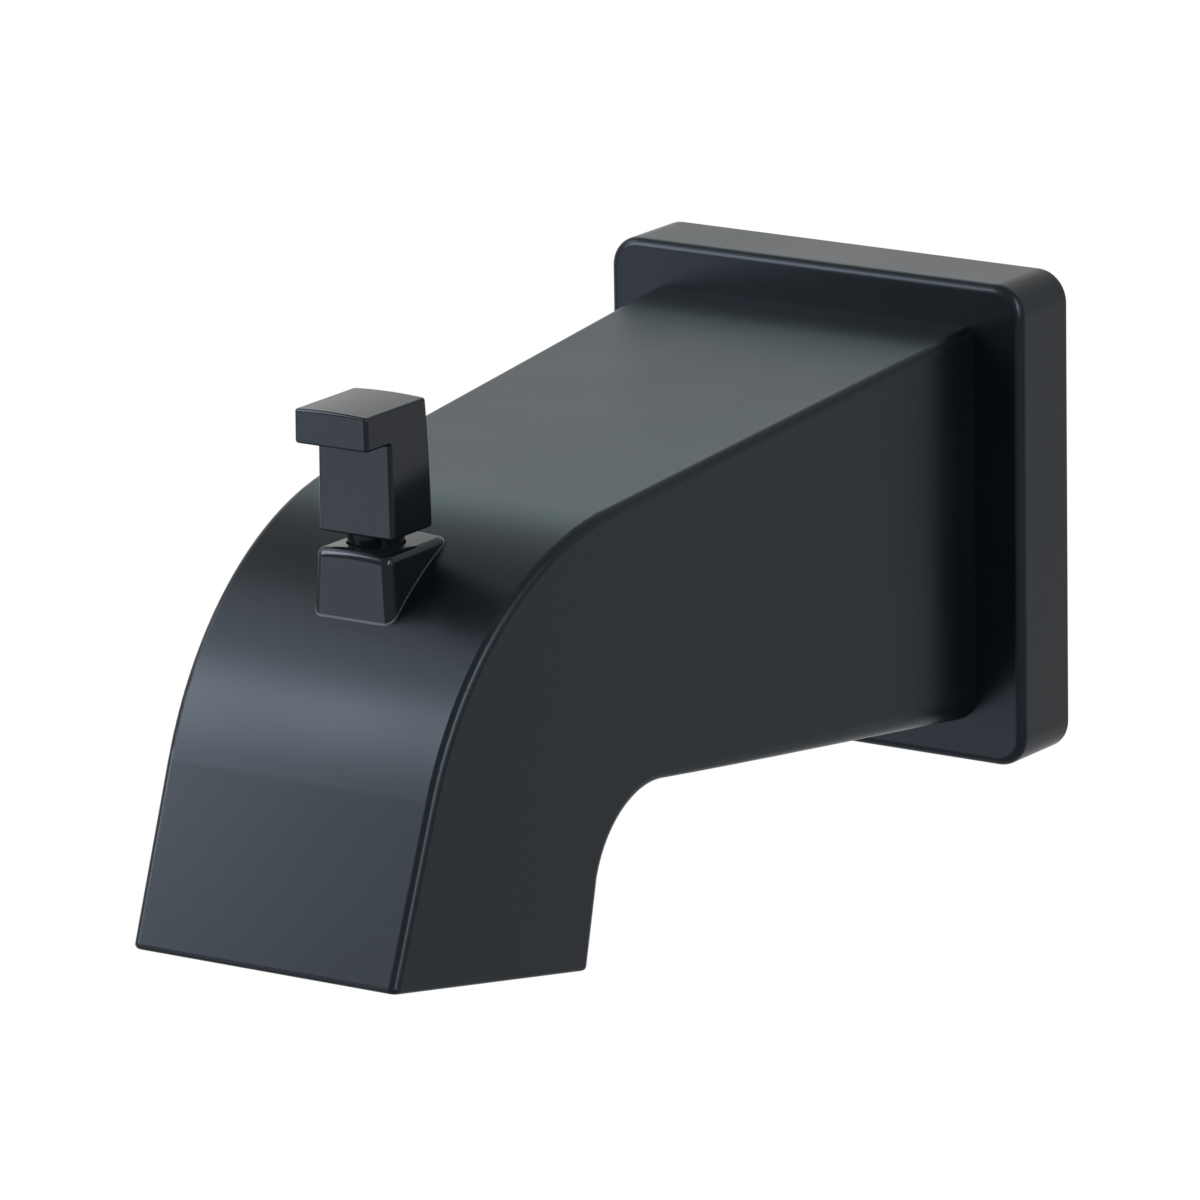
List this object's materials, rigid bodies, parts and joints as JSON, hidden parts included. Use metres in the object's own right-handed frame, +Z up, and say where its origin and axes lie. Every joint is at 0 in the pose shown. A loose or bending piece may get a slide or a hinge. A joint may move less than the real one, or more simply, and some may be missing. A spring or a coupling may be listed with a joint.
{
  "type": "bath spout",
  "caption": "Wall-mounted bath spout with a square flange, a tapered square body, a down-turned nose and a pull-up shower diverter knob.",
  "frame": {"origin": "on the supply pipe's axis, in the plane of the finished wall", "axes": "the wall is the plane y = 0 and +Y points into it; the spout reaches out along -Y; +Z is up; X runs across the spout. Stored at rest, diverter knob down."},
  "size_m": [0.0774, 0.1676, 0.0899],
  "materials": {
    "black_coat": "satin black powder coat on cast zinc",
    "black_gloss": "gloss black on cast zinc",
    "brass": "turned, uncoated",
    "steel": "plain stainless",
    "white_plastic": "moulded, matt",
    "grey_plastic": "moulded, matt",
    "seal_rubber": "matt",
    "clear_seal": "pale, satin"
  },
  "bodies": {
    "spout": {"spout_shell": "black_coat", "wall_gasket": "seal_rubber", "inlet_socket": "brass", "inlet_o_rings": "seal_rubber", "clamp_screw": "steel", "ear_screws": "steel", "socket_seal": "seal_rubber", "waterway": "white_plastic", "gate_cage": "grey_plastic", "cage_seal": "seal_rubber", "cage_screws": "steel", "stem_guide": "black_gloss", "guide_gasket": "clear_seal", "guide_washer": "steel", "guide_nut": "brass", "rod_o_ring": "seal_rubber"},
    "diverter": {"knob": "black_gloss", "lift_rod": "brass", "gate": "grey_plastic", "gate_seal": "seal_rubber"}
  },
  "joints": [
    {"name": "diverter_lift", "type": "slide", "parent": "spout", "child": "diverter", "axis": [0, 0, 1], "range_m": [0, 0.0125]}
  ]
}
